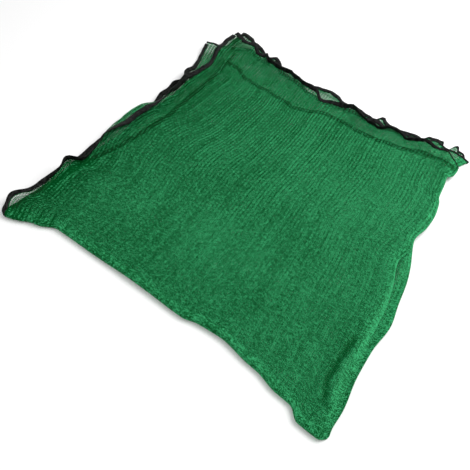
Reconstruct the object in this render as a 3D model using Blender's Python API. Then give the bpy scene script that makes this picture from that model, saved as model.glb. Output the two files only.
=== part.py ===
"""Shade sail: a square of knitted shade net, edge-bound in tape, folded in quarters and laid flat.

The flat net is measured from its middle: u runs across the knitted ribs and v along them. It is
folded along u = 0, then along v = 0, so its middle becomes the corner B of the folded pile. Going
round the pile, the corners are B (the middle of the net), L (on the second fold), T (the four
cut corners) and R (on the first fold). Layers are counted from the top down, 0 to 3.
"""

import math

import bmesh
import bpy
import numpy as np

MM = 0.001

# The flat net and its binding tape
HALF_SIDE = 1.0
CLOTH = 0.0012
TAPE_WIDTH = 0.018
TAPE = 0.0008
FIT = 0.00035
TAPE_GAP = 0.0015

# The folds: neighbouring layers lie LAYER_STEP apart, the first bend turns inside the second
LAYER_STEP = 0.005
FIRST_BEND = LAYER_STEP / 2
SECOND_BEND = LAYER_STEP
LAYERS = 4
PLATEAU = 0.36

# Where the corners of the folded pile lie on the floor, in mm: corner, x, y
MIDDLE = (0.02395, 0.18132)
CORNERS = {
    "B": (176, -541),
    "L": (-605, 72),
    "R_top": (614, 228),
    "R_low": (653, 262),
    "T0": (8, 883),
    "T1": (-29, 730),
    "T2": (-96, 837),
    "T3": (27, 903),
}

# The hems and folds, in mm from a straight line between two corners: along it, out from it
HEM_LEFT = {
    0: [(14, 5), (47, 21), (95, -11), (127, -8), (174, 3), (226, 9), (253, -25),
        (328, -4), (360, 18), (391, 31), (435, 37), (480, 52), (519, 42), (546, 31), (566, 12),
        (600, -12), (653, -26), (773, -28), (813, -34), (849, -22), (902, -8), (972, 6)],
    1: [(14, 0), (31, -4), (133, -8), (180, -13), (288, -20), (343, -33), (440, -44),
        (560, -48), (606, -42), (796, -19)],
    2: [(14, 0), (60, -25), (150, -30), (305, -20), (388, -21), (440, -36), (486, -48),
        (535, -50), (570, -48), (601, -48), (633, -52), (661, -45), (687, -66), (716, -50),
        (744, -40), (775, -44), (806, -36), (840, -26), (881, -16), (908, -5)],
    3: [(14, 0), (60, -22), (150, -30), (300, -18), (400, -28), (500, -24), (600, -32),
        (800, -14), (950, -4)],
}
HEM_RIGHT = {
    0: [(16, -2), (74, -13), (101, -11), (146, -32), (169, -27), (206, -34), (235, -34),
        (260, -32), (320, -32), (350, -37), (370, -40), (393, -40), (439, -59), (465, -48),
        (512, -36), (537, -16), (572, -19), (617, -28), (641, -25), (665, 0), (701, -4),
        (726, -6), (750, 0), (790, 2), (830, 16), (872, 7)],
    1: [(46, -1), (103, -29), (166, -38), (264, -47), (303, -55), (347, -45), (392, -22),
        (452, -23), (535, -31), (600, -26), (693, -7), (752, 2), (787, -4)],
    2: [(25, 12), (45, 14), (110, 45), (150, 56), (200, 38), (250, 48), (300, 22), (360, 12),
        (420, -12), (480, -24), (560, -6), (660, -12), (790, 0), (850, 12), (900, 2)],
    3: [(11, 6), (45, 0), (76, -12), (123, -27), (161, -40), (182, -21), (213, -35),
        (242, -58), (260, -38), (300, -48), (341, -56), (392, -40), (447, -38), (506, -43),
        (514, -32), (583, -40), (606, -44), (618, -20), (633, -28), (700, -18), (734, -7),
        (747, -10), (759, 12), (778, 8), (793, 11), (803, 18), (809, 3), (822, 0), (829, 4),
        (833, 22), (840, 29), (847, 25), (855, 13), (870, 14), (881, 7)],
}
FOLD_RIGHT = {
    "top": [(10, 2), (40, -3), (55, -15), (80, -12), (133, -10), (153, -3), (203, 2), (253, -3),
            (309, -16), (337, -12), (395, -27), (468, -12), (543, -3), (585, -4), (711, 1),
            (764, -2), (811, 6), (854, 5)],
    "low": [(42, -22), (88, -36), (150, -40), (250, -30), (345, -29), (373, -23), (426, -7),
            (492, 5), (553, 10), (616, 17), (700, 5), (770, 3), (856, 9), (904, 6), (922, 8)],
}
FOLD_LEFT = [(10, 6), (62, 3), (95, -20), (141, -25), (193, -39), (229, -43), (310, -56),
             (377, -52), (415, -43), (542, -47), (613, -48), (700, -47), (804, -48), (837, -48),
             (883, -27), (913, -19), (937, -6), (979, 6)]

# How far hems are turned up: side and layer, then along it, the angle in degrees, and how much
# farther than HINGE from the raw edge the turn begins, in mm
HINGE = 0.030
TURN_ARC = 0.010
LEAST_TURN = 0.001
HEM_TURNS = {
    ("left", 0): [(40, 0, 0), (190, 112, 0), (225, 95, 0), (270, 110, 0), (330, 118, 0),
                  (430, 165, 15), (480, 172, 17), (540, 168, 15), (600, 125, 7),
                  (690, 60, 0), (800, 0, 0)],
    ("left", 2): [(580, 0, 0), (670, 60, 0), (705, 60, 0), (816, 0, 0)],
    ("right", 0): [(130, 0, 0), (230, 92, 0), (350, 92, 0), (440, 0, 0), (570, 110, 0),
                   (690, 115, 0), (880, 0, 0)],
}

# Ruffles at the hems, in mm: side, along it, half width, reach in, lowest layer lifted, lift
RUFFLES = [
    ("left", 55, 55, 90, 0, 9),
    ("left", 215, 60, 80, 1, 6),
    ("left", 420, 60, 90, 2, 7),
    ("left", 520, 45, 80, 0, 6),
    ("left", 610, 40, 70, 3, 8),
    ("left", 700, 45, 80, 2, 9),
    ("left", 800, 45, 80, 1, 7),
    ("left", 890, 55, 90, 3, 8),
    ("right", 110, 60, 80, 3, 6),
    ("right", 190, 40, 70, 2, 7),
    ("right", 300, 55, 90, 0, 8),
    ("right", 430, 60, 90, 3, 9),
    ("right", 540, 45, 70, 0, 6),
    ("right", 612, 32, 60, 3, 10),
    ("right", 700, 45, 80, 1, 7),
    ("right", 785, 40, 60, 3, 9),
    ("right", 850, 38, 55, 3, 8),
]
SPREAD = 0.25
HEM_RAISED = (75, 150)

# The grid of the flat net: cells between fold and hem, coarse and fine, and rows along a hem
COARSE_CELLS = 12
FINE_PER_COARSE = 3
LEFT_ROWS = (0.110, 0.065, HINGE, HINGE - TURN_ARC / 2, HINGE - TURN_ARC)
RIGHT_ROWS = (0.110, 0.065, HINGE, HINGE - TURN_ARC / 2)
BEND_STEPS = 2
TINY = 0.0001

GREEN = (0.016, 0.170, 0.055, 1.0)
BLACK = (0.012, 0.011, 0.012, 1.0)


def smooth(x):
    """0 below 0, 1 above 1, and a soft S between."""
    x = np.clip(x, 0.0, 1.0)
    return x * x * (3.0 - 2.0 * x)


def through(rows, length, along):
    """A smooth curve through the rows (along, out), with both ends on the straight line."""
    x = np.array([0.0] + [r[0] for r in rows] + [length])
    y = np.array([0.0] + [r[1] for r in rows] + [0.0])
    step = np.diff(x)
    slope = np.diff(y) / step
    tangent = np.zeros_like(x)
    same = slope[1:] * slope[:-1] > 0
    both = 2 * slope[1:] * slope[:-1] / np.where(same, slope[1:] + slope[:-1], 1.0)
    tangent[1:-1] = np.where(same, both, 0.0)
    tangent[0] = slope[0]
    tangent[-1] = slope[-1]
    along = np.clip(along, 0.0, length)
    i = np.clip(np.searchsorted(x, along, side="right") - 1, 0, len(step) - 1)
    f = (along - x[i]) / step[i]
    rise = y[i] * (1 + 2 * f) * (1 - f) ** 2 + y[i + 1] * f * f * (3 - 2 * f)
    return rise + step[i] * (tangent[i] * f * (1 - f) ** 2 - tangent[i + 1] * f * f * (1 - f))


def side(start, end):
    """A straight side of the pile: its start, its direction, its outward normal, its length."""
    a, b = np.array(start, float), np.array(end, float)
    length = np.linalg.norm(b - a)
    along = (b - a) / length
    return a, along, np.array([-along[1], along[0]]), length


def fading(distance):
    """How a bow of one side dies away towards the opposite one."""
    return (1.0 - np.clip(distance, 0.0, 1.0)) ** 3


def layer_plan(layer, s, t):
    """Where a layer's point lies on the floor, in mm: s from R-B to T-L, t from B-L to R-T.

    It is the straight-sided patch between the layer's corners, with each side's own bow added
    and dying away across the patch.
    """
    pair = "top" if layer < 2 else "low"
    b, left = CORNERS["B"], CORNERS["L"]
    r, top = CORNERS["R_" + pair], CORNERS[f"T{layer}"]
    bows = (
        (side(b, left), FOLD_LEFT, s, t),
        (side(left, top), HEM_LEFT[layer], t, 1 - s),
        (side(top, r), HEM_RIGHT[layer], 1 - s, 1 - t),
        (side(r, b), FOLD_RIGHT[pair], 1 - t, s),
    )
    place = sum(
        np.multiply.outer(weight, np.array(corner, float))
        for weight, corner in (
            ((1 - s) * (1 - t), b),
            (s * (1 - t), left),
            (s * t, top),
            ((1 - s) * t, r),
        )
    )
    for (_, _, normal, length), rows, fraction, distance in bows:
        bow = through(rows, length, fraction * length) * fading(distance)
        place = place + np.multiply.outer(bow, normal)
    return place


def layer_lift(layer, place):
    """How far ruffles and the tape under the hems raise a layer at a place, in mm."""
    sides = {
        "left": side(CORNERS["L"], CORNERS["T0"]),
        "right": side(CORNERS["T0"], CORNERS["R_top"]),
    }
    along, inward = {}, {}
    for name, (start, direction, normal, _) in sides.items():
        along[name] = (place - start) @ direction
        inward[name] = -(place - start) @ normal
    near, far = HEM_RAISED
    clear = [smooth((inward[name] - near) / (far - near)) for name in sides]
    lift = (FIT + TAPE) / MM * (1.0 - clear[0] * clear[1])
    for name, at, half, reach, lowest, height in RUFFLES:
        if layer <= lowest:
            wave = 0.5 + 0.5 * np.cos(np.pi * np.clip((along[name] - at) / half, -1, 1))
            fade = 1.0 - smooth(inward[name] / reach)
            lift = lift + height * wave * fade * (1 + SPREAD * (lowest - layer))
    return lift


def bend(arc, radius, rise):
    """A sheet turned back on itself: how far in from the bend, and how high, a point lies.

    arc is measured along the bend's own line from its crown, and rise outward from that line.
    """
    angle = np.clip(arc / radius, -math.pi / 2, math.pi / 2)
    run = np.maximum(np.abs(arc) - radius * math.pi / 2, 0.0)
    return run - (radius + rise) * np.cos(angle), -(radius + rise) * np.sin(angle)


def hem_turn(name, u, v):
    """How far, in radians, the hem beside a point is turned up, and how wide it is there."""
    layer = np.where(v < 0, np.where(u < 0, 0, 1), np.where(u < 0, 3, 2))
    angle, wider = np.zeros(np.shape(u)), np.zeros(np.shape(u))
    for (turned_side, k), rows in HEM_TURNS.items():
        if turned_side == name:
            ends = (CORNERS["L"], CORNERS[f"T{k}"])
            if name == "right":
                ends = (CORNERS[f"T{k}"], CORNERS["R_top" if k < 2 else "R_low"])
            length = side(*ends)[3]
            along = length * (np.abs(v) if name == "left" else 1 - np.abs(u))
            angle += np.where(layer == k, through([r[:2] for r in rows], length, along), 0.0)
            wider += np.where(layer == k, through([(r[0], r[2]) for r in rows], length, along), 0.0)
    return np.radians(np.maximum(angle, LEAST_TURN)), HINGE + wider * MM


def turned_up(u, v, h):
    """The hems turned up: where each point then is over the flat net, and how high above it.

    At its hinge a hem goes round an arc and then runs straight on. A turned point's h then counts
    upward only as far as the net there is still level.
    """
    upward = np.where(u * v >= 0, 1.0, -1.0)
    raised = np.zeros(np.shape(u))
    new = {"left": u, "right": v}
    for name, edge in (("left", u), ("right", v)):
        whole, width = hem_turn(name, u, v)
        past = np.maximum(np.abs(edge) - (HALF_SIDE - width), 0.0)
        angle = whole * np.minimum(past, TURN_ARC) / TURN_ARC
        straight = np.maximum(past - TURN_ARC, 0.0)
        out = TURN_ARC / whole * np.sin(angle) + straight * np.cos(angle)
        raised = raised + TURN_ARC / whole * (1 - np.cos(angle)) + straight * np.sin(angle)
        moved = HALF_SIDE - width + out - upward * h * np.sin(angle)
        new[name] = np.where(past > 0, np.sign(edge) * moved, edge)
        h = h * np.cos(angle)
    return new["left"], new["right"], h, raised


def folded(u, v, h):
    """The folded place, in metres, of a point of the flat net: u, v, and h above its middle."""
    u, v, h = np.broadcast_arrays(np.asarray(u, float), v, h)
    u, v, h, raised = turned_up(u, v, h)
    across, turned = bend(u, FIRST_BEND, h)
    down, height = bend(v, SECOND_BEND, turned)
    widest = SECOND_BEND + FIRST_BEND
    s = (across + FIRST_BEND) / (HALF_SIDE - FIRST_BEND * (math.pi / 2 - 1))
    t = (down + widest) / (HALF_SIDE - SECOND_BEND * math.pi / 2 + widest)
    level = np.clip((widest - height) / LAYER_STEP, 0.0, LAYERS - 1.0)
    upper = np.minimum(np.floor(level), LAYERS - 2)
    share = smooth((level - upper - PLATEAU) / (1 - 2 * PLATEAU))
    weights = [
        np.where(upper == k, 1 - share, 0.0) + np.where(upper == k - 1, share, 0.0)
        for k in range(LAYERS)
    ]
    place = sum(weights[k][..., None] * layer_plan(k, s, t) for k in range(LAYERS))
    lift = sum(weights[k] * layer_lift(k, place) for k in range(LAYERS))
    x = place[..., 0] * MM - MIDDLE[0]
    y = place[..., 1] * MM - MIDDLE[1]
    z = height + widest + CLOTH / 2 + lift * MM + raised
    return np.stack([x, y, z], axis=-1)


def grid_lines(radius, rows):
    """Lines across the flat net, half by half: bend, fine body, hem; and which are coarse."""
    turn = radius * math.pi / 2
    body_end = HALF_SIDE - rows[0]
    count = COARSE_CELLS * FINE_PER_COARSE
    half = [turn * i / BEND_STEPS for i in range(BEND_STEPS + 1)]
    half += [turn + (body_end - turn) * i / count for i in range(1, count + 1)]
    coarse = list(range(BEND_STEPS + 1))
    coarse += [BEND_STEPS + FINE_PER_COARSE * i for i in range(1, COARSE_CELLS + 1)]
    half += [HALF_SIDE - row for row in rows[1:]] + [HALF_SIDE - TAPE_WIDTH, HALF_SIDE]
    last = len(half) - 1
    positions = [-x for x in reversed(half[1:])] + half
    marks = sorted({last - i for i in coarse} | {last + i for i in coarse})
    return positions, marks


def along_edge(first, last, shared):
    """The line numbers from first up to last, with the fine ones where hem rows share the edge."""
    return list(range(first, last)) if shared else [first]


def coarse_cell(west, east, south, north, whole):
    """A coarse cell's ring of line crossings, beginning at a corner that no fine edge touches.

    whole holds the first and last coarse lines: a cell edge on one of them has fine crossings.
    """
    (first_i, last_i), (first_j, last_j) = whole
    ring = [(k, south) for k in along_edge(west, east, south == first_j)]
    ring += [(east, k) for k in along_edge(south, north, east == last_i)]
    ring += [(k, north) for k in reversed(along_edge(west, east, north == last_j)[1:] + [east])]
    ring += [(west, k) for k in reversed(along_edge(south, north, west == first_i)[1:] + [north])]
    apex = (west if east == last_i else east, south if north == last_j else north)
    turn = ring.index(apex)
    return ring[turn:] + ring[:turn]


def at_hinges(flat):
    """The flat net's crossings, with the rows of a left hem's turn moved to where it turns."""
    u, v = flat[:, 0], flat[:, 1]
    inset = HALF_SIDE - np.abs(u)
    in_turn = (inset > TAPE_WIDTH + TINY) & (inset < HINGE + TINY)
    farther = np.where(in_turn, hem_turn("left", u, v)[1] - HINGE, 0.0)
    return np.stack([u - np.sign(u) * farther, v], axis=-1)


def flat_net():
    """The flat net's crossings and faces, fine at the hems and coarse inside, and its rim."""
    across, across_marks = grid_lines(FIRST_BEND, LEFT_ROWS)
    along, along_marks = grid_lines(SECOND_BEND, RIGHT_ROWS)
    whole = ((across_marks[0], across_marks[-1]), (along_marks[0], along_marks[-1]))
    (first_i, last_i), (first_j, last_j) = whole
    rings = [
        [(i, j), (i + 1, j), (i + 1, j + 1), (i, j + 1)]
        for i in range(len(across) - 1)
        for j in range(len(along) - 1)
        if not (first_i <= i < last_i and first_j <= j < last_j)
    ]
    for west, east in zip(across_marks, across_marks[1:]):
        for south, north in zip(along_marks, along_marks[1:]):
            rings.append(coarse_cell(west, east, south, north, whole))
    end_i, end_j = len(across) - 1, len(along) - 1
    rim = [(i, 0) for i in range(end_i)] + [(end_i, j) for j in range(end_j)]
    rim += [(i, end_j) for i in range(end_i, 0, -1)] + [(0, j) for j in range(end_j, 0, -1)]
    number = {place: k for k, place in enumerate(sorted({c for ring in rings for c in ring}))}
    points = at_hinges(np.array([(across[i], along[j]) for i, j in number]))
    faces = [[number[c] for c in ring] for ring in rings]
    edge = [number[c] for c in rim]
    return points, faces, list(zip(edge, edge[1:] + edge[:1]))


def add_object(name, points, faces, material, collection):
    """A named mesh object whose faces point out."""
    mesh = bpy.data.meshes.new(name)
    triangles = [[f[0], f[k], f[k + 1]] for f in faces for k in range(1, len(f) - 1)]
    mesh.from_pydata(points.tolist(), [], triangles)
    builder = bmesh.new()
    builder.from_mesh(mesh)
    bmesh.ops.recalc_face_normals(builder, faces=builder.faces[:])
    builder.to_mesh(mesh)
    builder.free()
    mesh.materials.append(material)
    mesh.shade_smooth()
    mesh.set_sharp_from_angle(angle=math.radians(40))
    made = bpy.data.objects.new(name, mesh)
    collection.objects.link(made)
    return made


def build_net(material, collection):
    """The folded net: its two faces CLOTH apart, and the rim between them."""
    flat, faces, rim = flat_net()
    u, v = flat[:, 0], flat[:, 1]
    count = len(flat)
    points = np.concatenate([folded(u, v, CLOTH / 2), folded(u, v, -CLOTH / 2)])
    shell = faces + [[i + count for i in f[:1] + f[:0:-1]] for f in faces]
    shell += [[b, a, a + count, b + count] for a, b in rim]
    return add_object("net", points, shell, material, collection)


def tape_section():
    """The tape's section round a raw edge: in from the edge, and above the net's middle."""
    inner = CLOTH / 2 + FIT
    outer = inner + TAPE
    return [
        (TAPE_WIDTH, outer), (-FIT - TAPE, outer), (-FIT - TAPE, -outer), (TAPE_WIDTH, -outer),
        (TAPE_WIDTH, -inner), (-FIT, -inner), (-FIT, inner), (TAPE_WIDTH, inner),
    ]


def build_binding(name, edge, sign, material, collection):
    """A tape folded round one raw edge of the net, and round the fold that the edge crosses.

    Each four-sided face of its walls is split along the same diagonal as the net's face inside.
    """
    section = tape_section()
    if edge == "u":
        lines = [x for x in grid_lines(SECOND_BEND, RIGHT_ROWS)[0] if abs(x) < HALF_SIDE - TAPE_WIDTH]
        end = HALF_SIDE - TAPE_WIDTH - TAPE_GAP
        lines = [-end] + [x for x in lines if abs(x) < end] + [end]
    else:
        lines = grid_lines(FIRST_BEND, LEFT_ROWS)[0]
    rings = []
    for inset, above in section:
        out = np.full(len(lines), sign * (HALF_SIDE - inset))
        u, v = (out, np.array(lines)) if edge == "u" else (np.array(lines), out)
        rings.append(folded(u, v, above))
    size, count = len(section), len(lines)
    points = np.stack(rings, axis=1).reshape(-1, 3)
    faces = []
    for i in range(count - 1):
        for k in range(size):
            a, b = i * size + k, i * size + (k + 1) % size
            outward = section[k][0] > section[(k + 1) % size][0]
            quad = [a, b, b + size, a + size]
            faces.append(quad if outward == (sign > 0) else quad[1:] + quad[:1])
    for first in (0, (count - 1) * size):
        faces += [[first + k for k in quad] for quad in ((0, 1, 6, 7), (1, 2, 5, 6), (2, 3, 4, 5))]
    return add_object(name, points, faces, material, collection)


def finish(name, colour, roughness):
    """A plain coloured material."""
    made = bpy.data.materials.new(name)
    made.use_nodes = True
    shader = made.node_tree.nodes["Principled BSDF"]
    shader.inputs["Base Color"].default_value = colour
    shader.inputs["Roughness"].default_value = roughness
    shader.inputs["Metallic"].default_value = 0.0
    made.diffuse_color = colour
    return made


def build():
    """The folded net and its four tapes, in one collection."""
    for old in list(bpy.data.objects):
        bpy.data.objects.remove(old)
    collection = bpy.data.collections.new("shade_sail")
    bpy.context.scene.collection.children.link(collection)
    net = finish("green_net", GREEN, 0.5)
    tape = finish("black_tape", BLACK, 0.6)
    build_net(net, collection)
    build_binding("binding_left_top", "u", -1, tape, collection)
    build_binding("binding_left_low", "u", 1, tape, collection)
    build_binding("binding_right_top", "v", -1, tape, collection)
    build_binding("binding_right_low", "v", 1, tape, collection)


build()
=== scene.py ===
# %% [markdown]
# # A shade sail, folded in quarters
#
# The real object is a square of green shade net, 2 m by 2 m, with a black tape sewn round its edge.
# It was folded in half, folded in half again and laid on a white table. This lesson dresses the
# plain solids of that pile: a thin knitted sheet takes the place of the thick one, and four woven
# tapes take the place of the four plain strips. The frame gives the solids, and its box is noted
# first.

# %% The frame
import math

import bpy
import numpy as np
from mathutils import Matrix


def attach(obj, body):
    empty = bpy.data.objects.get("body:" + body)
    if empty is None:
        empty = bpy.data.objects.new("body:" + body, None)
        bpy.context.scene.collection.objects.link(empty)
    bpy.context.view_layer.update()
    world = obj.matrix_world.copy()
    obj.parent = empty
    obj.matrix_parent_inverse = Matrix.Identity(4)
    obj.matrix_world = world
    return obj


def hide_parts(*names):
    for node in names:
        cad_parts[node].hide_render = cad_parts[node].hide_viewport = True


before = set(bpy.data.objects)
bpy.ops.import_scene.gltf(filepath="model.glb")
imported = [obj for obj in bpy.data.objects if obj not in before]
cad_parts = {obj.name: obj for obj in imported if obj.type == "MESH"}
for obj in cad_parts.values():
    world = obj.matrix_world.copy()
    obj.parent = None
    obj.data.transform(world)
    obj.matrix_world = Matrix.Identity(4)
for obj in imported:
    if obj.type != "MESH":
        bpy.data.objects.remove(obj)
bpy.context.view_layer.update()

print("solids:", sorted(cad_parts))

# %% [markdown]
# ## Sizes
#
# The flat net is measured from its middle: u runs across its knitted ribs and v along them, both
# from -1 m to 1 m. Folding along u = 0 and then along v = 0 turns its middle into the corner B of
# the pile. Going round, the other corners are L on the second fold, T where the four cut corners
# meet, and R on the first fold. Layers are counted from the top down, 0 to 3. The hems don't lie
# on each other: each has its own uneven line, so each has a row of numbers of its own.

# %% Sizes of the net, its tape and its folds
MM = 0.001

# The flat net and its binding tape, in metres: half the net's side and all of it, the folded tape's
# width and thickness, how far off the net's middle it lies, how far the raw edge stays inside it,
# and how far a left tape's end stays off the right one's free edge
HALF_SIDE = 1.0
SIDE = 2 * HALF_SIDE
TAPE_WIDTH = 0.018
TAPE = 0.0008
TAPE_OFF = 0.00095
EDGE_IN_TAPE = 0.002
TAPE_GAP = 0.0015

# The folds, in metres: the distance between layers, and the radius of each bend
LAYERS = 4
LAYER_STEP = 0.005
FIRST_BEND = LAYER_STEP / 2
SECOND_BEND = LAYER_STEP

# The box's middle, in metres, and where the pile's corners lie on the table, in mm: x, y
MIDDLE = (0.02395, 0.18132)
CORNERS = {
    "B": (176, -541),
    "L": (-605, 72),
    "R_top": (614, 228),
    "R_low": (653, 262),
    "T0": (8, 883),
    "T1": (-29, 730),
    "T2": (-96, 837),
    "T3": (27, 903),
}
print("flat net:", SIDE, "m a side, in", LAYERS, "layers")

# %% [markdown]
# ## The outlines
#
# No two hems are alike, so each layer's hems have rows of their own: how far along the straight line
# between two corners a point is, and how far out from it. Each fold on the right has its rows too.

# %% Uneven hems and folds
# from L to T or from T to R in a hem, from R to B or from B to L in a fold, all in mm
HEM_LEFT = {
    0: [(14, 5), (47, 21), (95, -11), (127, -8), (174, 3), (226, 9), (253, -25),
        (328, -4), (360, 18), (391, 31), (435, 37), (480, 52), (519, 42), (546, 31), (566, 12),
        (600, -12), (653, -26), (773, -28), (813, -34), (849, -22), (902, -8), (972, 6)],
    1: [(14, 0), (31, -4), (133, -8), (180, -13), (288, -20), (343, -33), (440, -44),
        (560, -48), (606, -42), (796, -19)],
    2: [(14, 0), (60, -25), (150, -30), (305, -20), (388, -21), (440, -36), (486, -48),
        (535, -50), (570, -48), (601, -48), (633, -52), (661, -45), (687, -66), (716, -50),
        (744, -40), (775, -44), (806, -36), (840, -26), (881, -16), (908, -5)],
    3: [(14, 0), (60, -22), (150, -30), (300, -18), (400, -28), (500, -24), (600, -32),
        (800, -14), (950, -4)],
}
HEM_RIGHT = {
    0: [(16, -2), (74, -13), (101, -11), (146, -32), (169, -27), (206, -34), (235, -34),
        (260, -32), (320, -32), (350, -37), (370, -40), (393, -40), (439, -59), (465, -48),
        (512, -36), (537, -16), (572, -19), (617, -28), (641, -25), (665, 0), (701, -4),
        (726, -6), (750, 0), (790, 2), (830, 16), (872, 7)],
    1: [(46, -1), (103, -29), (166, -38), (264, -47), (303, -55), (347, -45), (392, -22),
        (452, -23), (535, -31), (600, -26), (693, -7), (752, 2), (787, -4)],
    2: [(25, 12), (45, 14), (110, 45), (150, 56), (200, 38), (250, 48), (300, 22), (360, 12),
        (420, -12), (480, -24), (560, -6), (660, -12), (790, 0), (850, 12), (900, 2)],
    3: [(11, 6), (45, 0), (76, -12), (123, -27), (161, -40), (182, -21), (213, -35),
        (242, -58), (260, -38), (300, -48), (341, -56), (392, -40), (447, -38), (506, -43),
        (514, -32), (583, -40), (606, -44), (618, -20), (633, -28), (700, -18), (734, -7),
        (747, -10), (759, 12), (778, 8), (793, 11), (803, 18), (809, 3), (822, 0), (829, 4),
        (833, 22), (840, 29), (847, 25), (855, 13), (870, 14), (881, 7)],
}
FOLD_RIGHT = {
    "top": [(10, 2), (40, -3), (55, -15), (80, -12), (133, -10), (153, -3), (203, 2), (253, -3),
            (309, -16), (337, -12), (395, -27), (468, -12), (543, -3), (585, -4), (711, 1),
            (764, -2), (811, 6), (854, 5)],
    "low": [(42, -22), (88, -36), (150, -40), (250, -30), (345, -29), (373, -23), (426, -7),
            (492, 5), (553, 10), (616, 17), (700, 5), (770, 3), (856, 9), (904, 6), (922, 8)],
}
FOLD_LEFT = [(10, 6), (62, 3), (95, -20), (141, -25), (193, -39), (229, -43), (310, -56),
             (377, -52), (415, -43), (542, -47), (613, -48), (700, -47), (804, -48), (837, -48),
             (883, -27), (913, -19), (937, -6), (979, 6)]
print("hem rows:", sum(len(rows) for hem in (HEM_LEFT, HEM_RIGHT) for rows in hem.values()))

# %% [markdown]
# ## The folded sheet as one formula
#
# A cloth simulation could fold this net, but it would not land on the uneven hems of the real
# pile. So the fold is a formula that takes a point of the flat net, and how far above the sheet
# it is, and gives its place. It bends the sheet back at u = 0, bends the result back at v = 0,
# and then stretches each layer's square over the corners and hems listed above. Everything that
# lies on the net, such as its tape, goes through the same formula and so follows every fold.

# %% Curves and sides


def through(rows, length, along):
    """A smooth curve through the rows (along, out), with both ends on the straight line.

    Between two rows it is a cubic whose slopes are the harmonic means of the rows' own slopes, so
    it never swings past a row.
    """
    x = np.array([0.0] + [r[0] for r in rows] + [length])
    y = np.array([0.0] + [r[1] for r in rows] + [0.0])
    step = np.diff(x)
    slope = np.diff(y) / step
    tangent = np.zeros_like(x)
    same = slope[1:] * slope[:-1] > 0
    both = 2 * slope[1:] * slope[:-1] / np.where(same, slope[1:] + slope[:-1], 1.0)
    tangent[1:-1] = np.where(same, both, 0.0)
    tangent[0] = slope[0]
    tangent[-1] = slope[-1]
    along = np.clip(along, 0.0, length)
    i = np.clip(np.searchsorted(x, along, side="right") - 1, 0, len(step) - 1)
    f = (along - x[i]) / step[i]
    rise = y[i] * (1 + 2 * f) * (1 - f) ** 2 + y[i + 1] * f * f * (3 - 2 * f)
    return rise + step[i] * (tangent[i] * f * (1 - f) ** 2 - tangent[i + 1] * f * f * (1 - f))


def side(start, end):
    """A straight side of the pile: its start, its direction, its outward normal, its length."""
    a, b = np.array(start, float), np.array(end, float)
    length = np.linalg.norm(b - a)
    along = (b - a) / length
    return a, along, np.array([-along[1], along[0]]), length


def fading(distance):
    """How a bow of one side dies away towards the opposite one: the cube of what is left."""
    return (1.0 - np.clip(distance, 0.0, 1.0)) ** 3


bow = through(HEM_LEFT[0], side(CORNERS["L"], CORNERS["T0"])[3], 400.0)
print("left hem, 400 mm from L:", round(float(bow), 1), "mm out")

# %% [markdown]
# ## A layer's place on the table
#
# Each layer is a square whose corners and sides have shifted a little. A point's two shares of the
# way across it give a place between the four corners, and each side's own bow is added, less and
# less with the distance from that side. Hems also have quick waves, which end a few centimetres in.

# %% A layer's place
# the quick waves of every hem: height in mm, length in mm, and how far on the next layer's are;
# then their share on the left and on the right, and how far in they reach, as a share of the side
FLUTTER = [(0.9, 67, 1.3), (0.7, 41, 2.2), (0.5, 29, 0.7)]
FLUTTER_SHARE = (0.6, 1.2)
FLUTTER_REACH = 0.05


def flutter(layer, along):
    """The quick waves of a hem, in mm: three sines, so that they never quite repeat."""
    return sum(size * np.sin(2 * np.pi * along / length + layer * on) for size, length, on in FLUTTER)


def layer_of(u, v):
    """The number of the layer that each point of the flat net is on."""
    return np.where(v < 0, np.where(u < 0, 0, 1), np.where(u < 0, 3, 2))


def layer_plan(layer, s, t):
    """Where a layer's point lies on the table, in mm: s from R-B to T-L, t from B-L to R-T.

    It is the straight-sided patch between the layer's corners, with each side's own bow added
    and dying away across the patch.
    """
    pair = "top" if layer < 2 else "low"
    b, left = CORNERS["B"], CORNERS["L"]
    r, top = CORNERS["R_" + pair], CORNERS[f"T{layer}"]
    bows = (
        (side(b, left), FOLD_LEFT, s, t),
        (side(left, top), HEM_LEFT[layer], t, 1 - s),
        (side(top, r), HEM_RIGHT[layer], 1 - s, 1 - t),
        (side(r, b), FOLD_RIGHT[pair], 1 - t, s),
    )
    weights = ((1 - s) * (1 - t), s * (1 - t), s * t, (1 - s) * t)
    weighed = zip(weights, np.array((b, left, top, r), float))
    place = sum(np.multiply.outer(weight, corner) for weight, corner in weighed)
    for (_, _, normal, length), rows, fraction, distance in bows:
        bow = through(rows, length, fraction * length) * fading(distance)
        place = place + np.multiply.outer(bow, normal)
    for ((_, _, normal, length), _, fraction, distance), share in zip(bows[1:3], FLUTTER_SHARE):
        wave = share * flutter(layer, fraction * length) * np.exp(-((distance / FLUTTER_REACH) ** 2))
        place = place + np.multiply.outer(wave, normal)
    return place


print("middle of each layer, mm:", [np.round(layer_plan(k, 0.5, 0.5)).tolist() for k in range(LAYERS)])

# %% [markdown]
# ## Ruffles and creases
#
# Knitted net is springy, so its hems don't lie down: each ruffle is a low arch that lifts a hem off
# the table, highest at the hem and gone a hand's width inside. The pile also keeps the marks of
# being packed: long soft ridges beside its first fold and shallow ones across its body. Both are
# only a lift that depends on the place on the table. A ruffle lifts the layers above it a little
# more than its own, so that no layer is pushed through the next.

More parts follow.
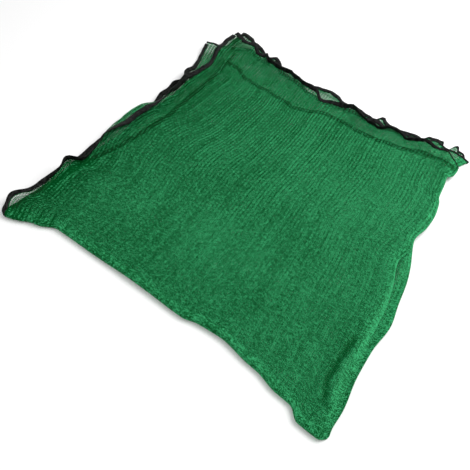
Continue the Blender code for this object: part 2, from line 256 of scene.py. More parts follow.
# %% Ruffles and ridges
# side, along it, half width, reach in, lowest layer lifted, lift, all in mm
RUFFLES = [
    ("left", 55, 55, 90, 0, 9),
    ("left", 215, 60, 80, 1, 6),
    ("left", 420, 60, 90, 2, 7),
    ("left", 520, 45, 80, 0, 6),
    ("left", 610, 40, 70, 3, 8),
    ("left", 700, 45, 80, 2, 9),
    ("left", 800, 45, 80, 1, 7),
    ("left", 890, 55, 90, 3, 8),
    ("right", 110, 60, 80, 3, 6),
    ("right", 190, 40, 70, 2, 7),
    ("right", 300, 55, 90, 0, 8),
    ("right", 430, 60, 90, 3, 9),
    ("right", 540, 45, 70, 0, 6),
    ("right", 612, 32, 60, 3, 10),
    ("right", 700, 45, 80, 1, 7),
    ("right", 785, 40, 60, 3, 9),
    ("right", 850, 38, 55, 3, 8),
]

# how much more a ruffle lifts each layer above its own, where the tape's lift of the hems fades out
# inward, how high it is, and how far from the first fold the ridges set in, the last three in mm
SPREAD = 0.25
HEM_RAISED = (75, 150)
HEM_LIFT = 1.15
FLAT_RIM = 18

# name: half width, height, and the points of its line on the table, all in mm
RIDGES = {
    "roll by the first fold": (34, 7.0, [(190, -470), (235, -380), (300, -250), (420, -90), (500, 40)]),
    "second roll": (26, 4.0, [(250, -450), (330, -300), (440, -130), (520, 0)]),
    "crease by B, inside": (9, 5.0, [(248, -317), (227, -342), (197, -381), (182, -414), (172, -455)]),
    "crease by B, outside": (9, 5.0, [(272, -331), (251, -356), (221, -395), (206, -428), (196, -469)]),
    "roll by R": (30, 4.5, [(500, 40), (560, 130), (590, 220)]),
    "long rise": (60, 3.0, [(60, -250), (160, -40), (260, 160), (330, 330)]),
    "rise by L": (55, 2.5, [(-430, 90), (-300, 160), (-160, 190)]),
    "rise by B and L": (45, 2.5, [(-250, -130), (-120, -190), (20, -290)]),
    "middle rise": (70, 2.5, [(-150, 330), (0, 250), (150, 250)]),
}
print(len(RUFFLES), "ruffles and", len(RIDGES), "ridges")

# %% How high a layer lies


def smooth(x):
    """0 below 0, 1 above 1, and a soft S between."""
    x = np.clip(x, 0.0, 1.0)
    return x * x * (3.0 - 2.0 * x)


def from_line(place, points):
    """How far each place is from a line through points, in mm: the least distance to its pieces."""
    least = np.full(place.shape[:-1], np.inf)
    for a, b in zip(np.array(points[:-1], float), np.array(points[1:], float)):
        part = np.clip((place - a) @ (b - a) / ((b - a) @ (b - a)), 0.0, 1.0)
        near = a + part[..., None] * (b - a)
        least = np.minimum(least, np.linalg.norm(place - near, axis=-1))
    return least


def ridges(place):
    """The height of all ridges at a place: each is a bell over the distance from its line.

    They fade out towards the first fold, whose own line is given by its rows.
    """
    total = np.zeros(place.shape[:-1])
    for half, height, points in RIDGES.values():
        total += height * np.exp(-((from_line(place, points) / half) ** 2))
    return total * smooth(from_line(place, [CORNERS["B"], CORNERS["R_top"]]) / FLAT_RIM)


def layer_lift(layer, place):
    """How far ruffles and the tape under the hems raise a layer at a place, in mm."""
    sides = {
        "left": side(CORNERS["L"], CORNERS["T0"]),
        "right": side(CORNERS["T0"], CORNERS["R_top"]),
    }
    along, inward = {}, {}
    for name, (start, direction, normal, _) in sides.items():
        along[name] = (place - start) @ direction
        inward[name] = -(place - start) @ normal
    near, far = HEM_RAISED
    clear = [smooth((inward[name] - near) / (far - near)) for name in sides]
    lift = HEM_LIFT * (1.0 - clear[0] * clear[1])
    for name, at, half, reach, lowest, height in RUFFLES:
        if layer <= lowest:
            wave = 0.5 + 0.5 * np.cos(np.pi * np.clip((along[name] - at) / half, -1, 1))
            fade = 1.0 - smooth(inward[name] / reach)
            lift = lift + height * wave * fade * (1 + SPREAD * (lowest - layer))
    return lift


print("highest middle of a layer, mm:", round(float(layer_lift(0, layer_plan(0, 0.5, 0.5))), 2))

# %% [markdown]
# ## Turned-up hems
#
# The taped edge is stiffer than the net, so along parts of both sides it doesn't lie flat: it stands
# on its edge, or it has rolled right over and lies on the net with its raw edge pointing inward.
# From the front a standing tape is a thin black line, and the roll on the left side is a bare green
# bulge with the tape as a dark band inside it. Each hem has a hinge a few centimetres from its raw
# edge, and past it the net goes round a tight arc and then straight on, by the angle in this table.

# %% The turned hems
# the turn's beginning in from the raw edge and its length, in metres, and the least angle, in radians
HINGE = 0.030
TURN_ARC = 0.010
LEAST_TURN = 0.001

# the share of its angle that each mm of the quick waves adds to a turn, and how many layers on
# those waves are taken, so that they are not the outline's own
FLUTTER_TURN = {"left": 0.008, "right": 0.03}
OTHER_WAVES = 2

# side and layer: along it in mm, the angle in degrees, and how much farther than HINGE from the
# raw edge the turn begins, in mm
HEM_TURNS = {
    ("left", 0): [(40, 0, 0), (190, 112, 0), (225, 95, 0), (270, 110, 0), (330, 118, 0),
                  (430, 165, 15), (480, 172, 17), (540, 168, 15), (600, 125, 7),
                  (690, 60, 0), (800, 0, 0)],
    ("left", 2): [(580, 0, 0), (670, 60, 0), (705, 60, 0), (816, 0, 0)],
    ("right", 0): [(130, 0, 0), (230, 92, 0), (350, 92, 0), (440, 0, 0), (570, 110, 0),
                   (690, 115, 0), (880, 0, 0)],
}


def hem_along(name, layer, u, v):
    """The length of a layer's side, and how far along it each point lies, in mm."""
    ends = (CORNERS["L"], CORNERS[f"T{layer}"])
    if name == "right":
        ends = (CORNERS[f"T{layer}"], CORNERS["R_top" if layer < 2 else "R_low"])
    length = side(*ends)[3]
    return length, length * (np.abs(v) if name == "left" else 1 - np.abs(u))


def hem_turn(name, u, v):
    """How far, in radians, the hem beside a point is turned up, and how wide it is there."""
    angle, wider = np.zeros(np.shape(u)), np.zeros(np.shape(u))
    for (turned_side, k), rows in HEM_TURNS.items():
        if turned_side == name:
            length, along = hem_along(name, k, u, v)
            here = layer_of(u, v) == k
            turn = through([r[:2] for r in rows], length, along)
            turn = turn * (1 + FLUTTER_TURN[name] * flutter(k + OTHER_WAVES, along))
            angle += np.where(here, turn, 0.0)
            wider += np.where(here, through([(r[0], r[2]) for r in rows], length, along), 0.0)
    return np.radians(np.maximum(angle, LEAST_TURN)), HINGE + wider * MM


def turned_up(u, v, h):
    """The hems turned up: where each point then is over the flat net, and how high above it.

    Past its hinge a hem goes round an arc, where out and up are the arc's radius times the sine
    of the angle and one minus its cosine. Then it runs straight on. What was above the sheet is
    now beside it, by the sine and cosine of the same angle.
    """
    upward = np.where(u * v >= 0, 1.0, -1.0)
    raised = np.zeros(np.shape(u))
    new = {"left": u, "right": v}
    for name, edge in (("left", u), ("right", v)):
        whole, width = hem_turn(name, u, v)
        past = np.maximum(np.abs(edge) - (HALF_SIDE - width), 0.0)
        angle = whole * np.minimum(past, TURN_ARC) / TURN_ARC
        straight = np.maximum(past - TURN_ARC, 0.0)
        out = TURN_ARC / whole * np.sin(angle) + straight * np.cos(angle)
        raised = raised + TURN_ARC / whole * (1 - np.cos(angle)) + straight * np.sin(angle)
        moved = HALF_SIDE - width + out - upward * h * np.sin(angle)
        new[name] = np.where(past > 0, np.sign(edge) * moved, edge)
        h = h * np.cos(angle)
    return new["left"], new["right"], h, raised


print("turned hems:", len(HEM_TURNS))

# %% [markdown]
# ## Bending the sheet twice
#
# A fold is half a turn round a line: after it the net runs back, one bend's width lower. The first
# bend gives how far across a point is and how high, and the second bends that again. Between two
# layers' heights, the place passes softly from one outline to the other.

# %% The fold
# the share of a step in height, at each of its ends, where a bend still has its layer's own outline,
# and how high the middle of the solid sheet's thickness is, in metres
PLATEAU = 0.36
SHEET_MIDDLE = 0.0006


def bend(arc, radius, rise):
    """A sheet turned back on itself: how far in from the bend, and how high, a point lies.

    arc is measured along the bend's own line from its crown, and rise outward from that line.
    """
    angle = np.clip(arc / radius, -math.pi / 2, math.pi / 2)
    run = np.maximum(np.abs(arc) - radius * math.pi / 2, 0.0)
    return run - (radius + rise) * np.cos(angle), -(radius + rise) * np.sin(angle)


def folded(u, v, h):
    """The folded place, in metres, of a point of the flat net: u, v, and h above the sheet.

    The two bends give how far across and down its layer the point is, and how high. The height
    says which two layers it is between, and it takes their places and lifts in that share.
    """
    u, v, h = np.broadcast_arrays(np.asarray(u, float), v, h)
    u, v, h, raised = turned_up(u, v, h)
    across, turned = bend(u, FIRST_BEND, h)
    down, height = bend(v, SECOND_BEND, turned)
    widest = SECOND_BEND + FIRST_BEND
    s = (across + FIRST_BEND) / (HALF_SIDE - FIRST_BEND * (math.pi / 2 - 1))
    t = (down + widest) / (HALF_SIDE - SECOND_BEND * math.pi / 2 + widest)
    level = np.clip((widest - height) / LAYER_STEP, 0.0, LAYERS - 1.0)
    upper = np.minimum(np.floor(level), LAYERS - 2)
    share = smooth((level - upper - PLATEAU) / (1 - 2 * PLATEAU))
    place, lift = 0.0, 0.0
    for k in range(LAYERS):
        weight = np.where(upper == k, 1 - share, 0.0) + np.where(upper == k - 1, share, 0.0)
        own = layer_plan(k, s, t)
        place = place + weight[..., None] * own
        lift = lift + weight * (layer_lift(k, own) + ridges(own))
    x = place[..., 0] * MM - MIDDLE[0]
    y = place[..., 1] * MM - MIDDLE[1]
    return np.stack([x, y, height + widest + SHEET_MIDDLE + lift * MM + raised], axis=-1)


print("folded corner:", np.round(folded(0.0, 0.0, 0.0), 3))

# %% [markdown]
# ## Building a mesh from a grid
#
# Both the sheet and the tapes are grids of points, so one helper turns a grid into a mesh. It makes
# all the faces as one array and keeps each point's place on the flat cloth as a UV map, which the
# knit and the weave will follow round every fold.

# %% A grid of points as a mesh
# the number of points round half a fold and round the bend of a tape
BEND_POINTS = 6


def grid_mesh(name, points, flat, closed=False):
    """A mesh whose faces join each point of a grid to the next one along and across.

    points is rows x columns x 3 and flat is rows x columns x 2. closed joins the last column to
    the first; flat then has one more column than points, for the seam.
    """
    rows, columns = points.shape[:2]
    across = np.arange(columns if closed else columns - 1)
    i = np.arange(rows - 1)[:, None]
    after = (across + 1) % columns
    this_row, next_row = i * columns, (i + 1) * columns
    corners = [this_row + across, this_row + after, next_row + after, next_row + across]
    quads = np.stack(corners, axis=-1).reshape(-1, 4)
    mesh = bpy.data.meshes.new(name)
    mesh.from_pydata(points.reshape(-1, 3), [], quads)
    ends = [flat[i, across], flat[i, across + 1]]
    ends += [flat[i + 1, across + 1], flat[i + 1, across]]
    uv = np.stack(ends, axis=2)
    layer = mesh.uv_layers.new(name="flat")
    layer.data.foreach_set("uv", uv.reshape(-1).astype(np.float32))
    mesh.shade_smooth()
    made = bpy.data.objects.new(name, mesh)
    bpy.context.scene.collection.objects.link(made)
    return made


def lines_across(radius, zones):
    """Where a grid's lines cross the flat net: a few in the bend, then evenly in each zone.

    zones holds, from the bend outward, where a zone ends and how far apart its lines are.
    """
    turn = radius * math.pi / 2
    parts, start = [np.linspace(0, turn, BEND_POINTS)[:-1]], turn
    for end, spacing in zones:
        parts.append(np.linspace(start, end, round((end - start) / spacing) + 1)[:-1])
        start = end
    half = np.concatenate([*parts, [start]])
    return np.concatenate([-half[:0:-1], half])


# %% [markdown]
# ## The net
#
# The sheet has no thickness of its own: the strands are less than half a millimetre thick, so the
# knit, its holes and its relief are all in the material. Its lines lie closer where the hems turn
# and where the right side has sharp teeth.

# %% The folded net
# the net's zones on each side of a fold, in metres
EDGE = HALF_SIDE - EDGE_IN_TAPE
U_ZONES = [(0.17, 0.0045), (0.76, 0.0085), (HALF_SIDE - 0.064, 0.0055), (EDGE, 0.0025)]
V_ZONES = [(HALF_SIDE - 0.110, 0.0085), (HALF_SIDE - 0.034, 0.0055), (EDGE, 0.0025)]

u_lines = lines_across(FIRST_BEND, U_ZONES)
v_lines = lines_across(SECOND_BEND, V_ZONES)
u_grid, v_grid = np.meshgrid(u_lines, v_lines, indexing="ij")
net_points = folded(u_grid, v_grid, 0.0)
net = grid_mesh("net_cloth", net_points, np.stack([u_grid, v_grid], -1) / SIDE + 0.5)
print("net triangles:", 2 * len(net.data.polygons))

# %% [markdown]
# ## What darkens the top layer
#
# Layer 1 lies farther in than the top layer, so its tapes show through the top layer's knit as dark
# dashed lines. The thin plastic above them looks darker too. Creases get painted shade: the knit is
# darker along a crease's line. Painted highlights make it paler beside the fold by B and along two
# light lines by R and B. The sheet keeps both as values of its points, and the knit's material reads
# them.

# %% Tapes, and the painted shade and highlights of creases, as values of the top layer's points
# the value of points far from a tape, how far back layer 1 seems to lie when it is seen through the
# top layer from the front, both in mm, and the number of points that stand for a hem's line
FAR = 100.0
SIGHT = 4.2
HEM_POINTS = 61


def on_table(points):
    """Where points lie on the table, in mm."""
    return (points[..., :2] + np.array(MIDDLE)) / MM


def from_next_tape(points, u, v):
    """The distance in mm from the middle of layer 1's tapes, as seen from the front; FAR elsewhere."""
    place = on_table(points) + np.array([0.0, SIGHT])
    along = np.linspace(0, 1, HEM_POINTS)
    inset = np.full(HEM_POINTS, 1 - TAPE_WIDTH / 2)
    lines = (layer_plan(1, inset, along), layer_plan(1, along, inset))
    nearest = np.minimum(*(from_line(place, line) for line in lines))
    return np.where(layer_of(u, v) == 0, np.minimum(nearest, FAR), FAR)


# name: half width in mm, how much paler a painted highlight makes the knit there, or how much darker
# painted shade makes it below 0, and its line on the table in mm
PAINTED_CREASES = {
    "fold by B": (6, -0.65, [(265, -318), (239, -349), (209, -388), (194, -421), (184, -470)]),
    "beside the fold": (6, 0.28, [(290, -330), (262, -356), (232, -395), (217, -428), (204, -474)]),
    "line by R and B": (5, 0.35, [(393, -104), (375, -163), (352, -213), (327, -267), (292, -319)]),
    "line beside it": (5, 0.35, [(412, -130), (395, -180), (372, -230), (347, -282), (312, -334)]),
    "fold from T": (6, -0.55, [(14, 860), (-4, 808), (-7, 745), (-18, 709)]),
}


def painted_crease_shade(points, u, v):
    """Painted shade and highlights of the creases: how much paler each point is, or darker below 0, as
    a bell over each line's distance.
    """
    place = on_table(points)
    total = np.zeros(u.shape)
    for half, paler, line in PAINTED_CREASES.values():
        total += paler * np.exp(-((from_line(place, line) / half) ** 2))
    return np.where(layer_of(u, v) == 0, total, 0.0)


net_shades = {
    "from_tape": from_next_tape(net_points, u_grid, v_grid),
    "crease": painted_crease_shade(net_points, u_grid, v_grid),
}
for name, shade in net_shades.items():
    stored = net.data.attributes.new(name, "FLOAT", "POINT")
    stored.data.foreach_set("value", shade.reshape(-1).astype(np.float32))
print("points over a tape:", int((net_shades["from_tape"] < TAPE_WIDTH / MM / 2).sum()))

# %% [markdown]
# ## How wide the tapes look
#
# A tape is the same width all along, but its free edge has curled in here and there, and it
# crinkles, so the width that shows is uneven. A table and two short waves say how much shows.

# %% The width that shows
# side and layer: along it, and how much of the tape's width shows, in mm; the rest has curled in
TAPE_SHOWS = {
    ("left", 0): [(0, 18), (50, 16), (75, 10), (105, 10), (130, 15), (240, 14), (275, 8), (315, 7),
                  (335, 12), (370, 18), (940, 18)],
    ("left", 1): [(0, 18), (60, 15), (300, 15), (370, 18), (600, 18), (700, 15), (900, 15)],
    ("left", 2): [(0, 18), (60, 15), (300, 15), (370, 18), (780, 16), (830, 11), (919, 11)],
    ("left", 3): [(0, 18), (60, 15), (300, 15), (370, 18)],
    ("right", 0): [(0, 18), (300, 16), (640, 16), (740, 12), (820, 7), (845, 5), (875, 2)],
    ("right", 1): [(0, 18), (300, 16), (640, 16), (790, 7), (816, 2)],
    ("right", 2): [(0, 11), (70, 12), (120, 18), (300, 16), (700, 16), (800, 8), (900, 6)],
    ("right", 3): [(0, 18), (300, 16), (640, 16), (700, 14), (800, 9), (896, 6)],
}

# the tape's small crinkles: length in mm, and how far on the next layer's are; then how much of
# the width the deepest one hides on each side
CRINKLES = [(23, 1.1), (61, 2.3)]
CRINKLE_DEPTH = {"left": 0.12, "right": 0.34}


def crinkle(name, layer, along):
    """What share of the tape's width its crinkles leave showing: two sines, one times the other."""
    wave = np.prod([np.sin(2 * np.pi * along / length + layer * on) for length, on in CRINKLES], axis=0)
    return 1.0 - CRINKLE_DEPTH[name] * (0.5 + 0.5 * wave)


def tape_shows(name, u, v):
    """What share of its width the tape beside each point shows."""
    share = np.ones(np.shape(u))
    for (at_side, k), rows in TAPE_SHOWS.items():
        if at_side == name:
            along = hem_along(name, k, u, v)[1]
            width = np.interp(along, *zip(*rows)) * crinkle(name, k, along)
            share = np.where(layer_of(u, v) == k, width * MM / TAPE_WIDTH, share)
    return share


print("tapes' widths by layer:", len(TAPE_SHOWS))

# %% [markdown]
# ## The tapes
#
# A maker folds a woven tape lengthwise over the raw edge and sews through both halves. Each tape
# is therefore a U-shaped band carried along its edge, with the net's edge between its two walls.
# The bend of the U is round, and the tape's own thickness shows at its two free edges. A tape takes
# its cross lines from the net, so that both bend at the same places and neither cuts the other.

# %% The four tapes


def tape_band():
    """The tape's section: in from the net's edge, above the net, and how far round the tape.

    It goes along the outer wall from one free edge to the other, round the raw edge in an arc,
    and back along the inner wall.
    """
    turn = np.linspace(math.pi / 2, -math.pi / 2, BEND_POINTS)
    level = [TAPE_WIDTH, TAPE_WIDTH / 2]
    walls = []
    for radius, way in ((TAPE_OFF + TAPE, 1), (TAPE_OFF, -1)):
        inset = np.concatenate([level, -np.cos(turn) * radius, level[::-1]])
        above = np.concatenate([[radius, radius], np.sin(turn) * radius, [-radius, -radius]])
        walls.append((inset[::way], above[::way]))
    inset, above = (np.concatenate([w[k] for w in walls]) for k in (0, 1))
    steps = np.hypot(np.diff(inset, append=inset[0]), np.diff(above, append=above[0]))
    return inset, above, np.concatenate([[0.0], np.cumsum(steps)])


def tape(name, at_side, sign):
    """A tape round one raw edge of the net, carried over the fold that the edge crosses."""
    inset, above, round_it = tape_band()
    lines = u_lines
    if at_side == "left":
        end = HALF_SIDE - TAPE_WIDTH - TAPE_GAP
        lines = np.concatenate([[-end], v_lines[np.abs(v_lines) < end - MM], [end]])
    edge = np.full(len(lines), sign)
    u, v = (edge, lines) if at_side == "left" else (lines, edge)
    share = tape_shows(at_side, u, v)[:, None]
    out, along = sign * (HALF_SIDE - np.where(inset > 0, inset * share, inset)), lines[:, None]
    points = folded(out, along, above) if at_side == "left" else folded(along, out, above)
    flat = np.stack(np.broadcast_arrays(round_it, along + HALF_SIDE), axis=-1) / SIDE
    if (at_side == "left") == (sign > 0):
        points, flat = points[:, ::-1], flat[:, ::-1]
    return grid_mesh(name, points, flat, closed=True)


tapes = {
    "binding_left_top": tape("tape_left_top", "left", -1),
    "binding_left_low": tape("tape_left_low", "left", 1),
    "binding_right_top": tape("tape_right_top", "right", -1),
    "binding_right_low": tape("tape_right_low", "right", 1),
}
print("tape triangles:", [2 * len(made.data.polygons) for made in tapes.values()])

# %% [markdown]
# ## Writing materials as sums
#
# A material is a net of nodes, but it reads better as an expression. This small class wraps one
# socket, and each operator adds the Math node that it stands for.

# %% Shader values as expressions


class Wire:
    """A socket of a material's node tree, with the operators that the materials below use."""

    def __init__(self, tree, socket=None):
        self.tree = tree
        self.socket = socket

    def node(self, kind, settings=None, sockets=None):
        """A new node of a kind: its settings are set first, then its sockets' values or links."""
        made = self.tree.nodes.new(kind)
        for name, value in (settings or {}).items():
            setattr(made, name, value)
        for name, value in (sockets or {}).items():
            if isinstance(value, Wire):
                self.tree.links.new(value.socket, made.inputs[name])
            else:
                made.inputs[name].default_value = value
        return made

    def out(self, node, name=0):
        """One output of a node, as a wire."""
        return Wire(self.tree, node.outputs[name])

    def math(self, operation, *values):
        """A Math node on this wire and the values after it."""
        sockets = dict(enumerate((self, *values)))
        return self.out(self.node("ShaderNodeMath", {"operation": operation}, sockets))

    def __add__(self, other):
        return self.math("ADD", other)

    __radd__ = __add__

    def __sub__(self, other):
        return self.math("SUBTRACT", other)

    def __rsub__(self, other):
        return (self * -1.0) + other

    def __mul__(self, other):
        return self.math("MULTIPLY", other)

    __rmul__ = __mul__

    def __truediv__(self, other):
        return self.math("DIVIDE", other)

    def ramp(self, low, high):
        """0 where this is at low, 1 where it is at high, even between and level outside."""
        sockets = {"Value": self, "From Min": low, "From Max": high}
        return self.out(self.node("ShaderNodeMapRange", {"clamp": True}, sockets))

    def size(self):
        """This value without its sign."""
        return self.math("ABSOLUTE")

    def least(self, other):
        """The lesser of two values."""
        return self.math("MINIMUM", other)

    def most(self, other):
        """The greater of two values."""
        return self.math("MAXIMUM", other)

    def mix(self, low, high):
        """The colour low where this is 0 and high where it is 1."""
        blend = self.node("ShaderNodeMix", {"data_type": "RGBA"}, {"Factor": self})
        for place, colour in ((6, low), (7, high)):
            if isinstance(colour, Wire):
                self.tree.links.new(colour.socket, blend.inputs[place])
            else:
                blend.inputs[place].default_value = colour
        return self.out(blend, 2)


def new_material(name):
    """An empty material: its tree as a wire, its shader node, and the flat map's two values."""
    made = bpy.data.materials.new(name)
    made.use_nodes = True
    wire = Wire(made.node_tree)
    shader = made.node_tree.nodes["Principled BSDF"]
    flat = wire.node("ShaderNodeUVMap", {"uv_map": "flat"})
    split = wire.node("ShaderNodeSeparateXYZ", sockets={"Vector": wire.out(flat)})
    return made, wire, shader, wire.out(flat), wire.out(split, 0), wire.out(split, 1)


def join(shader, wires):
    """Links wires to a shader's inputs by name."""
    for name, wire in wires.items():
        wire.tree.links.new(wire.socket, shader.inputs[name])


# %% [markdown]
# ## The knit
#
# Shade net is knitted from thin plastic tape: upright chains of loops, and between each two chains
# a tape laid in zigzags. From a step away it reads as fine ribs with a sparkle, which is painted in as
# pale glints on stitches, and light comes through the three-cornered holes. The holes are real
# openings in the material's alpha, so four layers look dense, one layer over the table looks pale,
# and a black tape under the top layer shows as a row of darker dashes. Along both folds the knit is
# pressed together and closes. The thin plastic lets light through to its other side, which a weak
# painted glow stands for: the knit gives off its own green as light.

# %% The knitted net's sizes
# in metres: from rib to rib, from stitch to stitch, how far from a fold the knit is pressed, a speck
# of grain, and a streak's width and length
RIB_PITCH = 0.0108
STITCH = 0.0056
PRESSED = 0.030
GRAIN = 0.0024
STREAK = (0.013, 0.30)

# shares of a rib or a column: the dense column of each rib; the half width of the laid tape and of
# the cross tape, and how much more it is where ribs are clear; where a chain ends and where it is
# whole; how much closing holes adds to the laid tape; and how soft a strand's edge is
DENSE = 0.50
LAID = (0.21, 0.16)
CROSS = (0.12, 0.14)
CHAIN = (0.065, 0.045)
CLOSING = 0.5
SOFT_EDGE = 0.04

# how uneven the knit is: bends across the net, how far they push ribs and stitches, and how far a
# column's stitches start from the next one's, the last three as shares of a rib or stitch
BENDS = 60
RIB_BEND = 0.3
STITCH_BEND = 0.8
STITCH_START = 0.6

# where the net is bunched: least and greatest u, then v, in metres, and how far its holes close
BUNCHED = {
    "the top of layer 2": ((0.925, 1.10), (0.800, 0.950), 0.4),
    "the roll on the left": ((-1.10, -0.925), (-0.60, -0.40), 0.4),
    "the hem by L": ((-1.10, -0.925), (-0.285, -0.115), 1.0),
}
BUNCH_FADE = 0.02

# where looks set in, as distances from the first fold or from the second, in metres: from, to
AT_HEM = (0.84, 0.97)
CLEAR_FROM_FIRST = (0.15, 0.85)
CLEAR_FROM_SECOND = (0.2, 0.9)
# the places of painted light by R and of painted shade along the rim from B to L
PAINTED_LIGHT_BY_R_FROM_FIRST = (0.50, 0.20)
PAINTED_LIGHT_BY_R_FROM_SECOND = (0.35, 0.75)
PAINTED_SHADE_BY_RIM_FROM_FIRST = (0.10, 0.40)
PAINTED_SHADE_BY_RIM_FROM_SECOND = (0.24, 0.07)

# how clear the ribs are by the first fold, and at the left hem
CLEAR_LEAST = 0.25
CLEAR_AT_HEM = 0.55

# where the shade over a tape sets in and where it is whole, in mm out from the tape's edges
OVER_TAPE = (1, -2)
print("ribs across the net:", round(SIDE / RIB_PITCH))

# %% The knitted net's looks
# how much paler each thing makes the knit, as a share of the way from dark green to light
PALER = {
    "everywhere": 0.15,
    # glints are painted highlights: stitches paler by chance, as if they caught the light
    "glint": 0.8,
    "grain": 2.4,
    # paler dense columns: partly their denser knit, partly painted light on the raised columns and
    # painted shade in the open ones
    "dense column": 0.06,
    "dense column, clear": 0.8,
    "streak": 0.6,
    "streak, clear": 0.5,
    "broad patch": 0.45,
    # painted light by R, and painted shade along the rim from B to L
    "by R": 0.09,
    "by the rim": -0.14,
    "by T": -0.42,
    "left hem": -0.15,
    "over a tape": -0.60,
    "dense, over a tape": 0.30,
}
LIGHT_GREEN = (0.034, 0.295, 0.114, 1.0)
DARK_GREEN = (0.0, 0.050, 0.009, 1.0)

# broad patches across the net
BROAD = 9

# the painted glow's strength, with which the knit gives off its own green as light, the sheen, and the
# roughness of a dull and of a glinting stitch
PAINTED_GLOW = 0.22
SHEEN = 0.02
ROUGHNESS = (0.35, 0.60)

# the relief: each strand's height as a share of its depth in metres, how fast the laid tape's crown
# falls away, and how strong the relief looks
RELIEF = {"dense column": 0.4, "laid tape": 0.4, "chain": 0.3}
CROWN = 3.0
RELIEF_DEPTH = 0.0008
RELIEF_STRENGTH = 0.5
print("shades added up:", len(PALER))

# %% [markdown]
# ## Where the knit's strands are
#
# Each function gives one thing about a point of the flat net: how far its holes are closed, what it
# is near, which stitch it is in, and if a strand is there. A strand is a line across the stitch, and
# a point is on it when it is nearer to it than half its width.

# %% The knit's places and strands


def closed_holes(u, v):
    """1 where the folds press the knit together, a part of that where it is bunched, else 0."""
    from_fold = u.size().least(v.size())
    closed = from_fold.ramp(PRESSED, PRESSED / 2)
    for (west, east), (south, north), shut in BUNCHED.values():
        in_u = u.ramp(west, west + BUNCH_FADE) * u.ramp(east, east - BUNCH_FADE)
        in_v = v.ramp(south, south + BUNCH_FADE) * v.ramp(north, north - BUNCH_FADE)
        closed = closed.most(in_u * in_v * shut)
    return closed


def noise(wire, x, y, detail=2.0):
    """Soft noise between 0 and 1 over two values whose whole numbers are a grain apart."""
    place = wire.node("ShaderNodeCombineXYZ", sockets={"X": x, "Y": y})
    sockets = {"Vector": wire.out(place), "Scale": 1.0, "Detail": detail}
    return wire.out(wire.node("ShaderNodeTexNoise", {"noise_dimensions": "2D"}, sockets))


def net_places(u, v):
    """How clear the ribs are, and how near a point is to the left hem, to T, to R, where painted light
    falls, and to the rim, where painted shade falls.
    """
    from_first, from_second = u.size(), v.size()
    hem = from_first.ramp(*AT_HEM)
    clear = from_first.ramp(*CLEAR_FROM_FIRST) * (1 - CLEAR_LEAST) + CLEAR_LEAST
    clear = (from_second.ramp(*CLEAR_FROM_SECOND) * clear).most(hem * CLEAR_AT_HEM)
    painted_light_by_r = from_first.ramp(*PAINTED_LIGHT_BY_R_FROM_FIRST) * from_second.ramp(*PAINTED_LIGHT_BY_R_FROM_SECOND)
    painted_shade_by_rim = from_first.ramp(*PAINTED_SHADE_BY_RIM_FROM_FIRST) * from_second.ramp(*PAINTED_SHADE_BY_RIM_FROM_SECOND)
    return clear, hem, clear * from_first, painted_light_by_r, painted_shade_by_rim


def stitch_places(wire, across, along):
    """If a point is in a dense column, its column's number, how far across it, and its stitch.

    A rib is a dense column and an open one. Slow bends push the ribs and the stitches about, and
    each column's stitches start at a chance of their own.
    """
    bends = noise(wire, across * BENDS, along * BENDS) - 0.5
    rib = across * (SIDE / RIB_PITCH) + bends * RIB_BEND
    x = rib.math("FRACT")
    in_dense = x.math("LESS_THAN", DENSE)
    column = rib.math("FLOOR") * 2.0 + in_dense
    place = in_dense * (x / DENSE) + (1 - in_dense) * ((x - DENSE) / (1 - DENSE))
    chance = wire.out(wire.node("ShaderNodeTexWhiteNoise", {"noise_dimensions": "1D"}, {"W": column}))
    stitch = along * (SIDE / STITCH) + bends * STITCH_BEND + chance * STITCH_START
    return in_dense, column, place, stitch


def strands(in_dense, place, stitch, more, closed):
    """Where strands are: 1 on any of them, 1 on a chain, and how far the laid tape's middle is.

    Up a column, the laid tape goes from one chain to the other and back once a stitch, and the
    cross tape does the same half a stitch later. A chain runs up each side of the column.
    """
    from_laid = (place - stitch.math("PINGPONG", 0.5) * 2.0).size()
    from_cross = (place - (stitch + 0.5).math("PINGPONG", 0.5) * 2.0).size()
    laid = (more * LAID[1] + LAID[0] + closed * CLOSING - from_laid).ramp(0.0, SOFT_EDGE)
    cross = (more * CROSS[1] + CROSS[0] - from_cross).ramp(0.0, SOFT_EDGE)
    column_width = in_dense * (2 * DENSE - 1) + (1 - DENSE)
    chain = (place.least(1 - place) * column_width).ramp(*CHAIN)
    return laid.most(cross).most(chain), chain, from_laid


print("bunched places:", sorted(BUNCHED))
